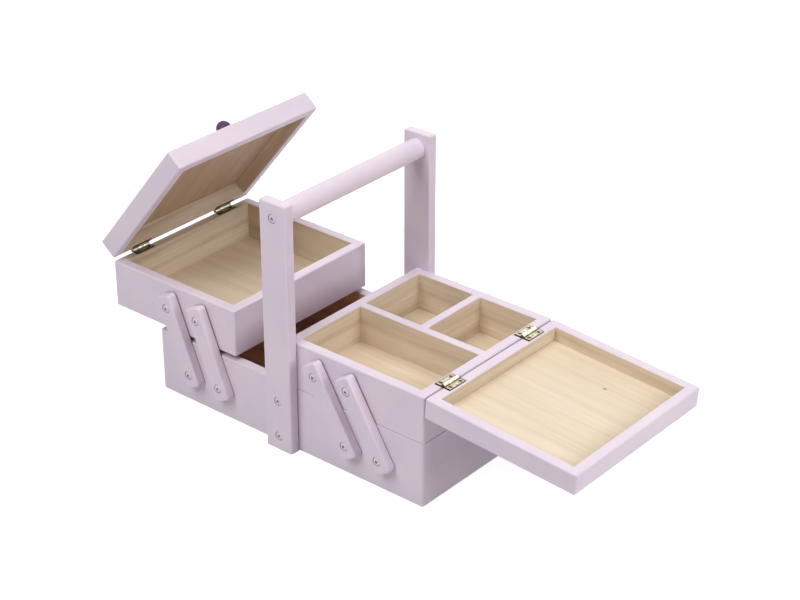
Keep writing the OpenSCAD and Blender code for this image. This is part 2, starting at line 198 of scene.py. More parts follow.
def finish_named(name):
    """A material with one shader, and its node tree."""
    mat = bpy.data.materials.new(name)
    mat.use_nodes = True
    return mat, mat.node_tree, mat.node_tree.nodes["Principled BSDF"]


def place_on_piece(tree, turn=0.0, centre=(0, 0, 0)):
    """Object coordinates, centred on a point and turned back about Y."""
    coords = tree.nodes.new("ShaderNodeTexCoord")
    mapping = tree.nodes.new("ShaderNodeMapping")
    mapping.vector_type = "TEXTURE"
    mapping.inputs["Location"].default_value = centre
    mapping.inputs["Rotation"].default_value = (0, turn, 0)
    tree.links.new(coords.outputs["Object"], mapping.inputs["Vector"])
    return mapping.outputs["Vector"]


def stretched(tree, place, scales):
    mapping = tree.nodes.new("ShaderNodeMapping")
    mapping.inputs["Scale"].default_value = scales
    tree.links.new(place, mapping.inputs["Vector"])
    return mapping.outputs["Vector"]


def noise(tree, place, scales, detail=4.0, roughness=0.55, distortion=0.0):
    made = tree.nodes.new("ShaderNodeTexNoise")
    made.inputs["Scale"].default_value = 1
    made.inputs["Detail"].default_value = detail
    made.inputs["Roughness"].default_value = roughness
    made.inputs["Distortion"].default_value = distortion
    tree.links.new(stretched(tree, place, scales), made.inputs["Vector"])
    return made.outputs["Fac"]


def between(tree, value, low, high, out_low=0.0, out_high=1.0):
    """Stretches a value from low..high to a new range and clamps it."""
    made = tree.nodes.new("ShaderNodeMapRange")
    made.inputs["From Min"].default_value = low
    made.inputs["From Max"].default_value = high
    made.inputs["To Min"].default_value = out_low
    made.inputs["To Max"].default_value = out_high
    tree.links.new(value, made.inputs["Value"])
    return made.outputs["Result"]


def blended(tree, amount, first, second):
    """Mixes two colours, each given as a tuple or as a node's output."""
    made = tree.nodes.new("ShaderNodeMix")
    made.data_type = "RGBA"
    tree.links.new(amount, made.inputs[0])
    for slot, colour in ((made.inputs[6], first), (made.inputs[7], second)):
        if isinstance(colour, tuple):
            slot.default_value = (*colour, 1)
        else:
            tree.links.new(colour, slot)
    return made.outputs[2]


def relief(tree, shader, height, strength, distance):
    made = tree.nodes.new("ShaderNodeBump")
    made.inputs["Strength"].default_value = strength
    made.inputs["Distance"].default_value = distance
    tree.links.new(height, made.inputs["Height"])
    tree.links.new(made.outputs["Normal"], shader.inputs["Normal"])


def along_grain(grain, along, across):
    """Scales along X, Y and Z for a pattern that runs with the grain."""
    return tuple(along if axis == grain else across for axis in "XYZ")


LILAC = (0.742, 0.645, 0.750)
LILAC_WARM = (0.775, 0.668, 0.755)
LILAC_COOL = (0.700, 0.612, 0.728)


def lilac_paint(grain, turn=0.0):
    """Satin paint brushed on wood, with the grain showing faintly through it."""
    name = "lilac_paint_%s_%d" % (grain.lower(), round(math.degrees(turn)))
    mat, tree, shader = finish_named(name)
    place = place_on_piece(tree, turn)
    clouds = noise(tree, place, (22, 22, 22), detail=3)
    brush = noise(tree, place, along_grain(grain, 14, 420), detail=5, roughness=0.6)
    pores = noise(tree, place, along_grain(grain, 90, 1500), detail=2)
    mottled = blended(tree, between(tree, clouds, 0.35, 0.65), LILAC_COOL, LILAC_WARM)
    streaked = blended(tree, between(tree, brush, 0.3, 0.75, 0.0, 0.55), mottled, LILAC)
    tree.links.new(streaked, shader.inputs["Base Color"])
    tree.links.new(between(tree, brush, 0.3, 0.7, 0.40, 0.52), shader.inputs["Roughness"])
    shader.inputs["Specular IOR Level"].default_value = 0.4
    height = joined_value(tree, "MULTIPLY_ADD", pores, 0.5, brush)
    relief(tree, shader, height, 0.35, 0.00012)
    return mat


def bare_wood(
    name, grain, across_axis, tones,
    turn=0.0, centre=(0, 0, 0), rings=0.6, streaks=0.55, knot=None,
):
    """Unpainted wood with growth bands, streaks and fine fibres along its grain."""
    pale, mid, dark = tones
    mat, tree, shader = finish_named(name)
    place = place_on_piece(tree, turn, centre)
    wander = noise(tree, place, along_grain(grain, 9, 30), detail=2)
    band = tree.nodes.new("ShaderNodeTexWave")
    band.wave_type = "BANDS"
    band.bands_direction = across_axis
    band.inputs["Scale"].default_value = 1
    band.inputs["Distortion"].default_value = 5.5
    band.inputs["Detail"].default_value = 2.5
    band.inputs["Detail Scale"].default_value = 1.2
    tree.links.new(stretched(tree, place, along_grain(grain, 2.5, 20)), band.inputs["Vector"])
    streak = noise(tree, place, along_grain(grain, 11, 330), detail=6, roughness=0.62)
    fibre = noise(tree, place, along_grain(grain, 60, 2600), detail=3)
    ring = joined_value(tree, "POWER", band.outputs["Fac"], 3.0)
    ringed = joined_value(tree, "MULTIPLY", ring, between(tree, wander, 0.35, 0.62, 0.15, rings))
    tone = joined_value(tree, "MULTIPLY_ADD", between(tree, streak, 0.3, 0.72), streaks, ringed)
    ground = blended(tree, between(tree, wander, 0.3, 0.7), pale, mid)
    grained = blended(tree, tone, ground, dark)
    flecked = blended(tree, between(tree, fibre, 0.52, 0.78, 0.0, 0.35), grained, dark)
    if knot:
        flecked = with_knot(tree, place, flecked, knot, dark)
    tree.links.new(flecked, shader.inputs["Base Color"])
    tree.links.new(between(tree, streak, 0.3, 0.7, 0.50, 0.66), shader.inputs["Roughness"])
    shader.inputs["Specular IOR Level"].default_value = 0.3
    height = joined_value(tree, "MULTIPLY_ADD", fibre, 0.6, streak)
    relief(tree, shader, height, 0.4, 0.00012)
    return mat


def parts_of(tree, place):
    """X, Y and Z of a place."""
    made = tree.nodes.new("ShaderNodeSeparateXYZ")
    tree.links.new(place, made.inputs[0])
    return made.outputs


def length_of(tree, first, second):
    """Length of the diagonal of two values."""
    square = joined_value(tree, "MULTIPLY", second, second)
    squares = joined_value(tree, "MULTIPLY_ADD", first, first, square)
    return joined_value(tree, "SQRT", squares)


def with_knot(tree, place, colour, knot, dark):
    """A pin knot in a board, a dark core in a paler brown ring."""
    x, y, _ = parts_of(tree, place)
    dx = joined_value(tree, "SUBTRACT", x, knot[0])
    dy = joined_value(tree, "SUBTRACT", y, knot[1])
    far = length_of(tree, dx, dy)
    ringed = blended(tree, between(tree, far, 0.0011, 0.0028, 0.45, 0.0), colour, dark)
    core = between(tree, far, 0.0006, 0.0013, 0.85, 0.0)
    return blended(tree, core, ringed, (0.20, 0.12, 0.07))


def painted_shade_wood():
    """Unpainted backs and undersides, made very dark as painted shade for the seams, contact lines
    and screw recesses where pieces lie against each other.
    """
    mat, tree, shader = finish_named("painted_shade_wood")
    place = place_on_piece(tree)
    clouds = noise(tree, place, (60, 60, 60), detail=4)
    fibre = noise(tree, place, (200, 900, 200), detail=3)
    mottle = between(tree, clouds, 0.35, 0.65)
    colour = blended(tree, mottle, (0.200, 0.140, 0.130), (0.290, 0.215, 0.190))
    tree.links.new(colour, shader.inputs["Base Color"])
    tree.links.new(between(tree, fibre, 0.3, 0.7, 0.60, 0.75), shader.inputs["Roughness"])
    relief(tree, shader, fibre, 0.3, 0.0001)
    return mat


def hinge_brass(name, turn, pin):
    """Stamped hinge brass with tarnish, a painted highlight on the knuckles and painted shade along
    the leaf edges and in the corners beside the knuckles.
    """
    mat, tree, shader = finish_named(name)
    place = place_on_piece(tree, turn, pin)
    x, y, z = parts_of(tree, place)
    from_pin = length_of(tree, x, z)
    from_centre = joined_value(tree, "ABSOLUTE", y)
    past_hinge = joined_value(tree, "SUBTRACT", from_centre, HINGE_YS[1])
    from_middle = joined_value(tree, "ABSOLUTE", past_hinge)
    tarnish = noise(tree, place, (600, 600, 600), detail=5, roughness=0.65)
    leaf = blended(tree, between(tree, tarnish, 0.40, 0.62), (0.56, 0.50, 0.38), (0.26, 0.23, 0.16))
    # Painted highlight: the knuckles are coloured pale, bright brass.
    knuckle = between(tree, from_pin, KNUCKLE_R, KNUCKLE_R + 0.0002, 1.0, 0.0)
    knuckle_highlighted = blended(tree, knuckle, leaf, (0.92, 0.85, 0.68))
    # Painted shade: near black in the corner beside each knuckle and along the leaf edges.
    corner = joined_value(
        tree, "MINIMUM",
        between(tree, from_pin, KNUCKLE_R, KNUCKLE_R + 0.0002),
        between(tree, from_pin, KNUCKLE_R + 0.0006, KNUCKLE_R + 0.0010, 1.0, 0.0),
    )
    rim = joined_value(
        tree, "MAXIMUM",
        between(tree, from_pin, LEAF_W - 0.0008, LEAF_W - 0.0003),
        between(tree, from_middle, HINGE_L / 2 - 0.0008, HINGE_L / 2 - 0.0003),
    )
    edge_and_crease_shade = joined_value(tree, "MULTIPLY", joined_value(tree, "MAXIMUM", corner, rim), 0.9)
    colour = blended(tree, edge_and_crease_shade, knuckle_highlighted, (0.045, 0.038, 0.024))
    tree.links.new(colour, shader.inputs["Base Color"])
    shader.inputs["Metallic"].default_value = 1
    tree.links.new(between(tree, tarnish, 0.35, 0.65, 0.28, 0.55), shader.inputs["Roughness"])
    relief(tree, shader, tarnish, 0.3, 0.00008)
    return mat


def dark_brass():
    """Small brass screws and pins gone dark."""
    mat, tree, shader = finish_named("dark_brass")
    place = place_on_piece(tree)
    tarnish = noise(tree, place, (900, 900, 900), detail=4, roughness=0.6)
    patches = between(tree, tarnish, 0.45, 0.68)
    colour = blended(tree, patches, (0.060, 0.048, 0.030), (0.30, 0.26, 0.17))
    tree.links.new(colour, shader.inputs["Base Color"])
    shader.inputs["Metallic"].default_value = 1
    tree.links.new(between(tree, tarnish, 0.35, 0.65, 0.35, 0.55), shader.inputs["Roughness"])
    return mat


def screw_steel():
    """Dull steel in the slots and on the shanks of the screws."""
    mat, tree, shader = finish_named("dark_steel")
    place = place_on_piece(tree)
    grime = noise(tree, place, (1500, 1500, 1500), detail=3)
    colour = blended(tree, between(tree, grime, 0.4, 0.65), (0.16, 0.13, 0.14), (0.05, 0.04, 0.045))
    tree.links.new(colour, shader.inputs["Base Color"])
    shader.inputs["Metallic"].default_value = 0.6
    tree.links.new(between(tree, grime, 0.3, 0.7, 0.4, 0.6), shader.inputs["Roughness"])
    return mat


def violet_gloss():
    """Dark violet lacquer of the turned knobs."""
    mat, tree, shader = finish_named("violet_gloss")
    place = place_on_piece(tree)
    clouds = noise(tree, place, (160, 160, 160), detail=3)
    grain = noise(tree, place, (90, 1400, 1400), detail=3)
    mottle = between(tree, clouds, 0.35, 0.65)
    colour = blended(tree, mottle, (0.070, 0.026, 0.092), (0.098, 0.040, 0.128))
    tree.links.new(colour, shader.inputs["Base Color"])
    tree.links.new(between(tree, grain, 0.3, 0.7, 0.30, 0.42), shader.inputs["Roughness"])
    shader.inputs["Specular IOR Level"].default_value = 0.26
    relief(tree, shader, grain, 0.12, 0.00006)
    return mat


# ---- hand tools ----

def clear_bench():
    if bpy.context.mode != "OBJECT":
        bpy.ops.object.mode_set(mode="OBJECT")
    bpy.ops.object.select_all(action="DESELECT")


def take(piece):
    clear_bench()
    piece.select_set(True)
    bpy.context.view_layer.objects.active = piece


def block(name, low, high):
    """A block between two corners, to be worked on."""
    clear_bench()
    low, high = Vector(low), Vector(high)
    bpy.ops.mesh.primitive_cube_add(size=1, location=(low + high) / 2)
    piece = bpy.context.object
    piece.name = name
    piece.data.name = name
    piece.scale = high - low
    bpy.ops.object.transform_apply(location=True, rotation=True, scale=True)
    return piece


def open_mesh(piece, kind):
    """Edit mode with nothing selected."""
    take(piece)
    bpy.ops.object.mode_set(mode="EDIT")
    bpy.ops.mesh.select_mode(type=kind)
    bpy.ops.mesh.select_all(action="DESELECT")
    return bmesh.from_edit_mesh(piece.data)


def whole_mesh(piece):
    """Edit mode with all of the piece selected."""
    open_mesh(piece, "FACE")
    bpy.ops.mesh.select_all(action="SELECT")


def close_mesh():
    bpy.ops.object.mode_set(mode="OBJECT")


def pick_faces(mesh, test):
    for face in mesh.faces:
        if test(face.calc_center_median(), face.normal):
            face.select_set(True)


def pick_edges(mesh, test):
    for edge in mesh.edges:
        if test(edge.verts[0].co, edge.verts[1].co):
            edge.select_set(True)


def round_edges(piece, test, radius, steps):
    mesh = open_mesh(piece, "EDGE")
    pick_edges(mesh, test)
    bpy.ops.mesh.bevel(
        offset=radius, segments=steps, profile=0.5, affect="EDGES", clamp_overlap=False
    )
    close_mesh()


def cut_by(piece, tool, how="DIFFERENCE"):
    """Cuts a piece with a tool, which is used up."""
    take(piece)
    cut = piece.modifiers.new("cut", "BOOLEAN")
    cut.operation = how
    cut.solver = "EXACT"
    cut.object = tool
    bpy.ops.object.modifier_apply(modifier=cut.name)
    bpy.data.objects.remove(tool)


def copy_of(piece, name):
    made = piece.copy()
    made.data = piece.data.copy()
    made.name = name
    made.data.name = name
    bpy.context.scene.collection.objects.link(made)
    return made


def smooth(piece, angle=35):
    """Flat faces stay flat and rounded arrises shade round."""
    take(piece)
    bpy.ops.object.shade_smooth_by_angle(angle=math.radians(angle))
    weigh = piece.modifiers.new("weigh", "WEIGHTED_NORMAL")
    weigh.keep_sharp = True
    bpy.ops.object.modifier_apply(modifier=weigh.name)


def coat(piece, *materials):
    piece.data.materials.clear()
    for mat in materials:
        piece.data.materials.append(mat)


def coat_where(piece, slot, test):
    for face in piece.data.polygons:
        if test(Vector(face.center), Vector(face.normal)):
            face.material_index = slot


def turn_on_lathe(name, outline, steps):
    """A solid turned about Y; each point of its outline is a radius and a place along Y."""
    points = [(radius, along, 0) for radius, along in outline]
    edges = [(i, i + 1) for i in range(len(points) - 1)]
    data = bpy.data.meshes.new(name)
    data.from_pydata(points, edges, [])
    piece = bpy.data.objects.new(name, data)
    bpy.context.scene.collection.objects.link(piece)
    open_mesh(piece, "VERT")
    bpy.ops.mesh.select_all(action="SELECT")
    bpy.ops.mesh.spin(steps=steps, angle=2 * math.pi, center=(0, 0, 0), axis=(0, 1, 0))
    bpy.ops.mesh.select_all(action="SELECT")
    bpy.ops.mesh.remove_doubles(threshold=1e-6)
    bpy.ops.mesh.normals_make_consistent(inside=False)
    close_mesh()
    return piece


def facing(out):
    """Turns what was made for the front, facing -Y, to the back where out is 1."""
    return Matrix.Rotation(0 if out < 0 else math.pi, 4, "Z")


def set_in_place(piece, matrix):
    """Moves the mesh itself, so that the object stays at the origin."""
    piece.data.transform(matrix)
    piece.data.update()


def fit(piece, body, slot, *nodes):
    """Hands a finished piece over to the body that it moves with."""
    clear_bench()
    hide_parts(*nodes)
    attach(piece, body)


# ---- boxes, trays and lids ----

def board_frame(name, low, high, top_r, seam_r, inner_top):
    """Four boards in one, with rounded arrises, ready to be sawn into boards."""
    ring = block(name, low, high)
    round_edges(ring, lambda a, b: abs(a.z - b.z) > 0.001, CORNER_R, 4)
    round_edges(ring, lambda a, b: min(a.z, b.z) > high.z - NEAR, top_r, 3)
    round_edges(ring, lambda a, b: max(a.z, b.z) < low.z + NEAR, seam_r, 3)
    cut_by(ring, router(low, high, inner_top))
    return ring


def router(low, high, rim_on_top):
    """The room inside four boards, flared where their inner arris is rounded over."""
    room = Vector((BOARD, BOARD, 0))
    far = Vector((0, 0, 0.01))
    start, end = low + room, high - room
    half = (end - start) / 2
    middle = (start + end) / 2
    if rim_on_top:
        rim, away = high.z, 1
        tool = block("router", start - far, (end.x, end.y, rim - INNER_R))
    else:
        rim, away = low.z, -1
        tool = block("router", (start.x, start.y, rim + INNER_R), end + far)
    mesh = open_mesh(tool, "FACE")
    pick_faces(mesh, lambda c, n: n.z * away > 0.9)
    grown, risen = 0.0, 0.0
    for step in range(1, 4):
        angle = math.radians(30 * step)
        grow, rise = INNER_R * (1 - math.cos(angle)), INNER_R * math.sin(angle)
        widen = ((half.x + grow) / (half.x + grown), (half.y + grow) / (half.y + grown), 1)
        flare(middle, (rise - risen) * away, widen)
        grown, risen = grow, rise
    flare(middle, far.z * away, (1, 1, 1))
    close_mesh()
    return tool


def flare(middle, rise, widen):
    """Pulls the picked face on by a step and widens it about the middle."""
    bpy.ops.mesh.extrude_region_move(TRANSFORM_OT_translate={"value": (0, 0, rise)})
    bpy.ops.transform.resize(value=widen, center_override=middle)


def saw_boards(ring, low, high, names):
    """Front, back, left-end and right-end boards, butted as the real ones are."""
    low, high = Vector(low), Vector(high)
    far = 0.05
    y0, y1 = low.y + BOARD, high.y - BOARD
    past_corner = 0.002
    x0, x1 = low.x + BOARD + past_corner, high.x - BOARD - past_corner
    cuts = (
        ((low.x - far, low.y - far), (high.x + far, y0)),
        ((low.x - far, y1), (high.x + far, high.y + far)),
        ((low.x - far, y0), (x0, y1)),
        ((x1, y0), (high.x + far, y1)),
    )
    boards = []
    for name, (start, end) in zip(names, cuts):
        board = copy_of(ring, name)
        tool = block("saw", (*start, low.z - far), (*end, high.z + far))
        cut_by(board, tool, "INTERSECT")
        boards.append(board)
    bpy.data.objects.remove(ring)
    return boards


def paint_boards(boards, low, high, paints, woods, painted_shade):
    """Paint outside and on the rims, bare wood inside; grain runs along each board."""
    low, high = Vector(low), Vector(high)
    middle = (low + high) / 2
    inside = Vector((high.x - middle.x - BOARD, high.y - middle.y - BOARD))

    def bare(c, n):
        if abs(n.z) > 0.3:
            return False
        return abs(c.x - middle.x) < inside.x + 1e-4 and abs(c.y - middle.y) < inside.y + 1e-4

    for board, grain in zip(boards, "XXYY"):
        coat(board, paints[grain], woods[grain], painted_shade)
        coat_where(board, 1, bare)


def bare_inner_rim(board, x, down):
    """Leaves the rim unpainted from x inwards."""
    whole_mesh(board)
    bpy.ops.mesh.bisect(plane_co=(x, 0, 0), plane_no=(1, 0, 0))
    close_mesh()
    coat_where(board, 1, lambda c, n: c.x > x and n.z * down < -0.1)


def let_in_hinges(board, pin, side, down):
    """Pockets for the leaves and their knuckles; down is -1 in a tray and 1 in a lid."""
    for y in HINGE_YS:
        scrape(board, pin, side, down, y, 0.0012, 0.0003, 1)
        # The deeper pocket round the knuckle gets finish 2, the dark painted-shade wood: painted
        # shade round the hinge.
        scrape(board, pin, side, down, y, 0.0005, 0.0010, 2)
        clear_bench()
        bpy.ops.mesh.primitive_cylinder_add(
            vertices=24, radius=KNUCKLE_R + KNUCKLE_ROOM, depth=HINGE_L + 2 * KNUCKLE_ROOM,
            location=(pin.x, y, pin.z), rotation=(math.pi / 2, 0, 0),
        )
        cut_by(board, bpy.context.object)


def scrape(board, pin, side, down, y, room, depth, finish):
    """A pocket with some room round the leaf, its faces given one of the board's finishes."""
    x0, x1 = sorted((pin.x - side * (LEAF_W + 0.0002), pin.x + side * 0.01))
    rim = pin.z + down * PIN_UP
    z0, z1 = sorted((rim + down * depth, rim - down * 0.003))
    half_l = HINGE_L / 2 + room
    cut_by(board, block("pocket", (x0, y - half_l, z0), (x1, y + half_l, z1)))

    def in_pocket(c, n):
        if abs(c.y - y) > half_l + NEAR or (pin.x - c.x) * side > LEAF_W + 0.0003:
            return False
        return abs(c.z - rim) < depth + NEAR and (c.z - rim) * down > NEAR

    coat_where(board, finish, in_pocket)


def build_base(paints, woods, painted_shade):
    """The four boards of the base; its floor is the CAD's own."""
    front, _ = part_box("base_front_board")
    _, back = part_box("base_back_board")
    names = ("base_front_board", "base_back_board", "base_left_end", "base_right_end")
    ring = board_frame("base", front, back, BASE_RIM_R, BASE_FOOT_R, True)
    boards = saw_boards(ring, front, back, [name + "_wood" for name in names])
    paint_boards(boards, front, back, paints, woods, painted_shade)
    for board, name in zip(boards, names):
        # Painted shade: the undersides get the dark painted-shade wood.
        coat_where(board, 2, lambda c, n: n.z < -0.9)
        smooth(board)
        fit(board, "base", "lilac_paint", name)


def build_tray(side_name, side, paints, woods, painted_shade):
    """The four boards of a tray, let in for the hinges at the outer end."""
    outer, inner = side_name + "_tray_outer_end", side_name + "_tray_inner_end"
    front, back = side_name + "_tray_front_board", side_name + "_tray_back_board"
    low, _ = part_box(front)
    _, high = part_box(back)
    ends = (inner, outer) if side > 0 else (outer, inner)
    names = (front, back, *ends)
    ring = board_frame(side_name + "_tray", low, high, RIM_R, SEAM_R, True)
    boards = saw_boards(ring, low, high, [name + "_wood" for name in names])
    paint_boards(boards, low, high, paints, woods, painted_shade)
    pin = Vector(JOINTS[side_name + "_lid_hinge"]["pos_m"])
    for board, name in zip(boards, names):
        # Painted shade: the undersides and the lower arris get the dark painted-shade wood,
        # darkening the seam over the base.
        coat_where(board, 2, lambda c, n: n.z < -0.3)
        if name == outer:
            if side < 0:
                bare_inner_rim(board, pin.x + BARE_RIM_IN, -1)
            let_in_hinges(board, pin, side, -1)
        smooth(board)
        fit(board, side_name + "_tray", "lilac_paint", name)


def lid_opened(pin, side, opened):
    """Turns what is made on a closed lid to where the lid stands."""
    there, back = Matrix.Translation(pin), Matrix.Translation(-pin)
    return there @ Matrix.Rotation(side * opened, 4, "Y") @ back


def build_lid(side_name, side, opened, paints, woods, painted_shade, panel_inside):
    """A lid, made closed about its hinge pin and then turned to where it stands."""
    pin = Vector(JOINTS[side_name + "_lid_hinge"]["pos_m"])
    tray_low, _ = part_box(side_name + "_tray_front_board")
    _, tray_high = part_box(side_name + "_tray_back_board")
    low = Vector((tray_low.x, tray_low.y, pin.z + PIN_UP))
    high = Vector((tray_high.x, tray_high.y, pin.z + PIN_UP + LID_H))
    front, back = side_name + "_lid_front_rail", side_name + "_lid_back_rail"
    hinged, free = side_name + "_lid_hinge_rail", side_name + "_lid_free_rail"
    ends = (free, hinged) if side > 0 else (hinged, free)
    names = (front, back, *ends)
    ring = board_frame(side_name + "_lid", low, high, RIM_R, RIM_R, False)
    rails = saw_boards(ring, low, high, [name + "_wood" for name in names])
    paint_boards(rails, low, high, paints, woods, painted_shade)
    turned = lid_opened(pin, side, opened)
    for rail, name in zip(rails, names):
        if name == hinged:
            if side < 0:
                bare_inner_rim(rail, pin.x + BARE_RIM_IN, 1)
            let_in_hinges(rail, pin, side, 1)
        smooth(rail)
        set_in_place(rail, turned)
        fit(rail, side_name + "_lid", "lilac_paint", name)
    panel = block(
        side_name + "_lid_panel_board",
        (low.x + BOARD, low.y + BOARD, high.z - PANEL_T),
        (high.x - BOARD, high.y - BOARD, high.z),
    )
    inner_z = high.z - PANEL_T
    round_edges(panel, lambda a, b: max(a.z, b.z) < inner_z + NEAR, PANEL_ARRIS, 2)
    coat(panel, paints["X"], panel_inside)
    coat_where(panel, 1, lambda c, n: n.z < -0.5)
    smooth(panel)
    set_in_place(panel, turned)
    fit(panel, side_name + "_lid", "bare_wood", side_name + "_lid_panel")


def build_divider(node, run, paint, wood):
    """A divider whose rounded, painted top runs into the rims and into its neighbour."""
    low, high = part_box(node)
    reach = Vector((INNER_R if run == "X" else 0, INNER_R if run == "Y" else 0, 0))
    strip = block(node + "_wood", low, high)
    side = 1 if run == "X" else 0
    round_edges(
        strip,
        lambda a, b: min(a.z, b.z) > high.z - NEAR and abs(a[side] - b[side]) < NEAR,
        INNER_R, 3,
    )
    mesh = open_mesh(strip, "FACE")
    pick_faces(mesh, lambda c, n: n[1 - side] < -0.9)
    bpy.ops.transform.translate(value=-reach)
    bpy.ops.mesh.select_all(action="DESELECT")
    pick_faces(bmesh.from_edit_mesh(strip.data), lambda c, n: n[1 - side] > 0.9)
    bpy.ops.transform.translate(value=reach)
    close_mesh()
    coat(strip, paint, wood)
    coat_where(strip, 1, lambda c, n: abs(n.z) < 0.3)
    smooth(strip)
    fit(strip, "right_tray", "bare_wood", node)


# ---- handle, arms, screws and knobs ----

def countersink(piece, x, y, z, out):
    """A screw hole with a sunk, conical seat; out is -1 in the front and 1 in the back."""
    head_r, shank_r = HEAD_D / 2 + HEAD_ROOM, SHANK_D / 2 + SHANK_ROOM
    cone_share = (head_r - shank_r) / (head_r - SHANK_D / 2)
    cutter = turn_on_lathe("countersink", (
        (0, -0.0015), (head_r, -0.0015), (head_r, HEAD_SUNK),
        (shank_r, HEAD_SUNK + HEAD_CONE_H * cone_share), (shank_r, DRILLED), (0, DRILLED),
    ), 32)
    set_in_place(cutter, Matrix.Translation((x, y, z)) @ facing(out))
    cut_by(piece, cutter)


def build_upright(name, out, screw_zs, paint, painted_shade):
    """One side of the handle; as far up as the base covers it, its back and back arris get the dark
    painted-shade wood, painted shade along the line where it meets the base.
    """
    low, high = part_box(name)
    bar = block(name + "_wood", low, high)
    mid_y = (low.y + high.y) / 2

    def along_face(a, b):
        return abs(a.y - b.y) < 1e-6 and max(a.z, b.z) > low.z + 1e-4

    round_edges(
        bar, lambda a, b: abs(a.y - b.y) > 0.001 and min(a.z, b.z) > high.z - NEAR, UPRIGHT_R, 3
    )
    round_edges(bar, lambda a, b: along_face(a, b) and (a.y - mid_y) * out > 0, UPRIGHT_R, 3)
    round_edges(bar, lambda a, b: along_face(a, b) and (a.y - mid_y) * out < 0, UPRIGHT_BACK_R, 2)
    for z in screw_zs:
        countersink(bar, 0, low.y if out < 0 else high.y, z, out)
    _, board_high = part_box("base_back_board")
    whole_mesh(bar)
    bpy.ops.mesh.bisect(plane_co=(0, 0, board_high.z), plane_no=(0, 0, 1))
    close_mesh()
    coat(bar, paint, painted_shade)
    # Painted shade: the back and its arris below the top of the base get the dark painted-shade
    # wood.
    coat_where(bar, 1, lambda c, n: n.y * out < -0.3 and c.z < board_high.z)
    for z in screw_zs:
        darken_sink(bar, 0, z, out, 1)
    smooth(bar)
    fit(bar, "base", "lilac_paint", name)


def build_dowel(paint):
    """The round bar of the handle, its ends just taken off."""
    low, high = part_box("handle_dowel")
    clear_bench()
    middle = (low + high) / 2
    bpy.ops.mesh.primitive_cylinder_add(
        vertices=64, radius=(high.z - low.z) / 2, depth=high.y - low.y, location=middle,
        rotation=(math.pi / 2, 0, 0),
    )
    dowel = bpy.context.object
    dowel.name = "handle_dowel_wood"
    bpy.ops.object.transform_apply(location=True, rotation=True, scale=True)
    round_edges(dowel, lambda a, b: abs(a.y - b.y) < 1e-6, DOWEL_ARRIS, 2)
    coat(dowel, paint)
    smooth(dowel)
    fit(dowel, "base", "lilac_paint", "handle_dowel")


def darken_sink(piece, x, z, out, slot):
    """Paints shade on the sloping wall of a countersink by giving it the dark painted-shade wood.
    """
    head_r = HEAD_D / 2 + HEAD_ROOM
    coat_where(
        piece, slot,
        lambda c, n: math.hypot(c.x - x, c.z - z) < head_r and 0.3 < n.y * out < 0.95,
    )


def shape_arm(paint, painted_shade):
    """An upright arm of the front, its lower pivot at the origin and its back at y = 0."""
    arm = block(
        "arm", (-ARM_W / 2, -ARM_T, -ARM_END), (ARM_W / 2, 0, ARM_SPAN + ARM_END)
    )
    round_edges(arm, lambda a, b: abs(a.y - b.y) > 0.001, ARM_CORNER_R, 4)
    round_edges(arm, lambda a, b: max(a.y, b.y) < -ARM_T + NEAR, ARM_ARRIS, 3)
    round_edges(arm, lambda a, b: min(a.y, b.y) > -NEAR, ARM_BACK_ARRIS, 2)
    coat(arm, paint, painted_shade)
    for z in (0, ARM_SPAN):
        countersink(arm, 0, -ARM_T, z, -1)
        darken_sink(arm, 0, z, -1, 1)
    # Painted shade: the back and its arris, lying against the board, get the dark painted-shade
    # wood.
    coat_where(arm, 1, lambda c, n: n.y > 0.3 and c.y > -0.001)
    smooth(arm)
    return arm


def build_arms(paint, painted_shade):
    """Four arms on each side, copied from one pattern and leant between their pivots."""
    pattern = shape_arm(paint, painted_shade)
    for side_name, side in (("left", -1), ("right", 1)):
        swing = JOINTS[side_name + "_tray_swing"]["pos_m"]
        level = JOINTS[side_name + "_tray_level"]["pos_m"]
        lean = math.atan2(level[0] - swing[0], level[2] - swing[2])
        for face, out in (("front", -1), ("back", 1)):
            for order in ("inner", "outer"):
                name = "_".join((side_name, face, order, "arm"))
                joint = JOINTS.get(name + "_swing", JOINTS[side_name + "_tray_swing"])
                low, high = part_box(name)
                back = high.y if out < 0 else low.y
                x, _, z = joint["pos_m"]
                arm = copy_of(pattern, name + "_wood")
                turn = Matrix.Rotation(lean, 4, "Y")
                set_in_place(arm, Matrix.Translation((x, back, z)) @ turn @ facing(out))
                fit(arm, name, "lilac_paint", name)
    bpy.data.objects.remove(pattern)


def shape_screw(length, rise, paint, steel):
    """Screw with a domed head painted over with the wood, its head plane at y = 0, facing -Y."""
    head_r, shank_r = HEAD_D / 2, SHANK_D / 2
    rim = 0.0002
    dome = ((0, 1), (0.4, 0.9), (0.7, 0.68), (0.9, 0.38), (1, 0.05))
    screw = turn_on_lathe("screw", [
        *((head_r * share, -rise * height) for share, height in dome),
        (head_r, rim), (shank_r, HEAD_CONE_H + rim), (shank_r, length - SHANK_D),
        (shank_r * 0.15, length), (0, length),
    ], 32)
    coat(screw, paint, steel)
    for width, height in ((SLOT_W, SLOT_L), (SLOT_L, SLOT_W)):
        low, high = (-width / 2, -0.002, -height / 2), (width / 2, SLOT_DEEP, height / 2)
        cut_by(screw, block("slot", low, high))
    limit = SLOT_L / 2 + NEAR
    coat_where(
        screw, 1,
        lambda c, n: abs(c.x) < limit and abs(c.z) < limit and c.y < SLOT_DEEP + NEAR,
    )
    coat_where(screw, 0, lambda c, n: n.y < -0.8 and c.y < 0)
    smooth(screw, 30)
    return screw


